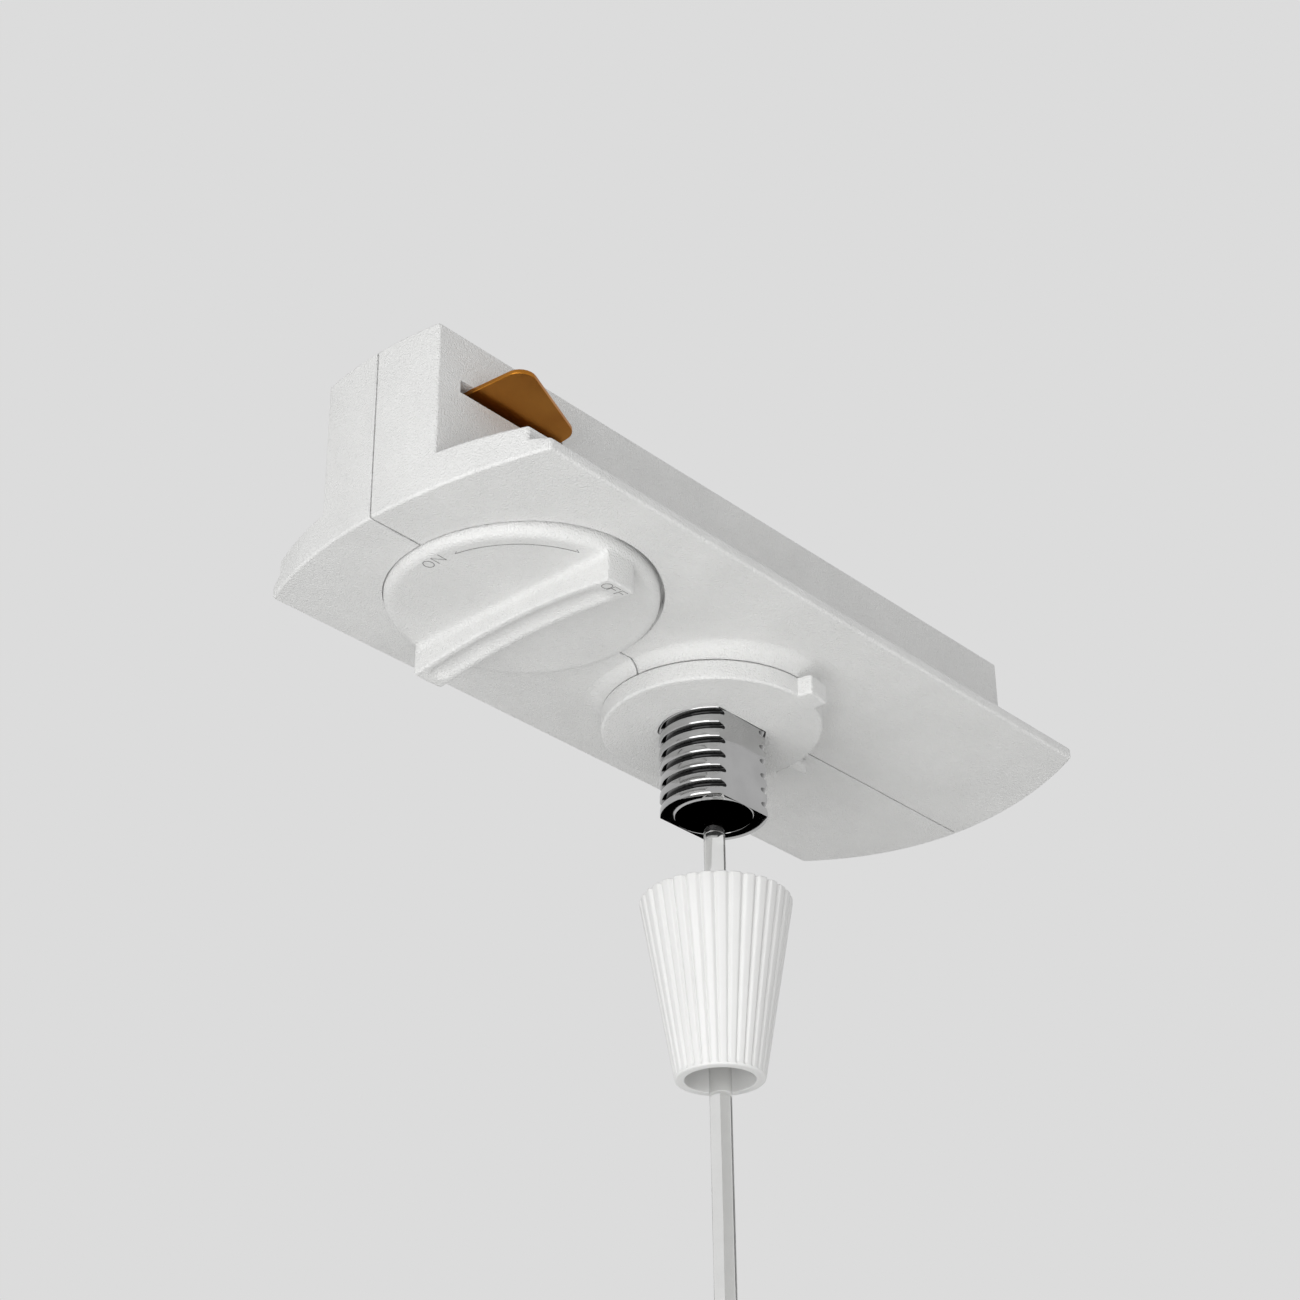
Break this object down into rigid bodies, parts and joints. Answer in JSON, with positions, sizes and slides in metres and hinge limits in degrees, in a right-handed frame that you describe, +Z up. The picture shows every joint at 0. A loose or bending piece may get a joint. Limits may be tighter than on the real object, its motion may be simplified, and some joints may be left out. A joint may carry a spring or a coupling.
{
  "type": "lighting track connector",
  "caption": "Track connector whose turn knob moves contact blades out of its neck, with a swivelling threaded cord outlet and a ribbed grip cone.",
  "frame": {"origin": "centreline of the neck at mid length, at the height of the seat that lies against the track", "axes": "+X along the track towards the end with the cord outlet, +Z up into the track, +Y across the track towards the side of the housing screws"},
  "size_m": [0.0828, 0.0346, 0.0856],
  "materials": {
    "housing_plastic": "fine spark-eroded grain",
    "knob_plastic": "fine spark-eroded grain",
    "cone_plastic": "smooth satin moulding",
    "inner_plastic": "plain glass-filled moulding",
    "natural_nylon": "natural nylon",
    "blade_brass": "rolled and polished",
    "terminal_brass": "machined",
    "plated_steel": "zinc plated",
    "spring_steel": "plain rolled strip",
    "nipple_chrome": "polished",
    "clear_sheath": "clear extruded sheath",
    "core_insulation": "extruded"
  },
  "bodies": {
    "housing": {"housing_front": "housing_plastic", "housing_rear": "housing_plastic", "housing_screws": "plated_steel", "detent_spring": "spring_steel", "live_strip": "terminal_brass", "neutral_strip": "terminal_brass", "terminal_blocks": "terminal_brass", "terminal_screws": "plated_steel", "slip_washer": "natural_nylon", "inner_cores": "core_insulation"},
    "knob": {"lock_knob": "knob_plastic", "crank_disc": "inner_plastic", "knob_screw": "plated_steel"},
    "front_blade": {"front_slider": "inner_plastic", "front_contact": "blade_brass", "front_rivets": "plated_steel"},
    "rear_blade": {"rear_slider": "inner_plastic", "rear_contact": "blade_brass", "rear_rivets": "plated_steel"},
    "swivel": {"swivel_collar": "housing_plastic", "threaded_nipple": "nipple_chrome", "cord_sheath": "clear_sheath", "cord_tails": "core_insulation"},
    "grip": {"cord_grip": "natural_nylon"},
    "cone": {"ribbed_cone": "cone_plastic"}
  },
  "joints": [
    {"name": "knob_turn", "type": "hinge", "parent": "housing", "child": "knob", "pos_m": [-0.02315, 0, 0], "axis": [0, 0, -1], "range_deg": [0, 90]},
    {"name": "front_blade_slide", "type": "slide", "parent": "housing", "child": "front_blade", "axis": [0, 1, 0], "range_m": [0, 0.006]},
    {"name": "rear_blade_slide", "type": "slide", "parent": "housing", "child": "rear_blade", "axis": [0, -1, 0], "range_m": [0, 0.006]},
    {"name": "collar_swivel", "type": "hinge", "parent": "housing", "child": "swivel", "pos_m": [0.00235, 0, 0], "axis": [0, 0, 1], "range_deg": [-254, 75]},
    {"name": "grip_slide", "type": "slide", "parent": "swivel", "child": "grip", "axis": [0, 0, 1], "range_m": [-0.01, 0.0143]},
    {"name": "cone_turn", "type": "hinge", "parent": "grip", "child": "cone", "pos_m": [0.00235, 0, -0.033], "axis": [0, 0, 1], "continuous": true}
  ],
  "couplings": [
    {"joint": "knob_turn", "follows": "front_blade_slide", "rad_per_m": 261.79},
    {"joint": "rear_blade_slide", "follows": "front_blade_slide", "ratio": 1}
  ]
}
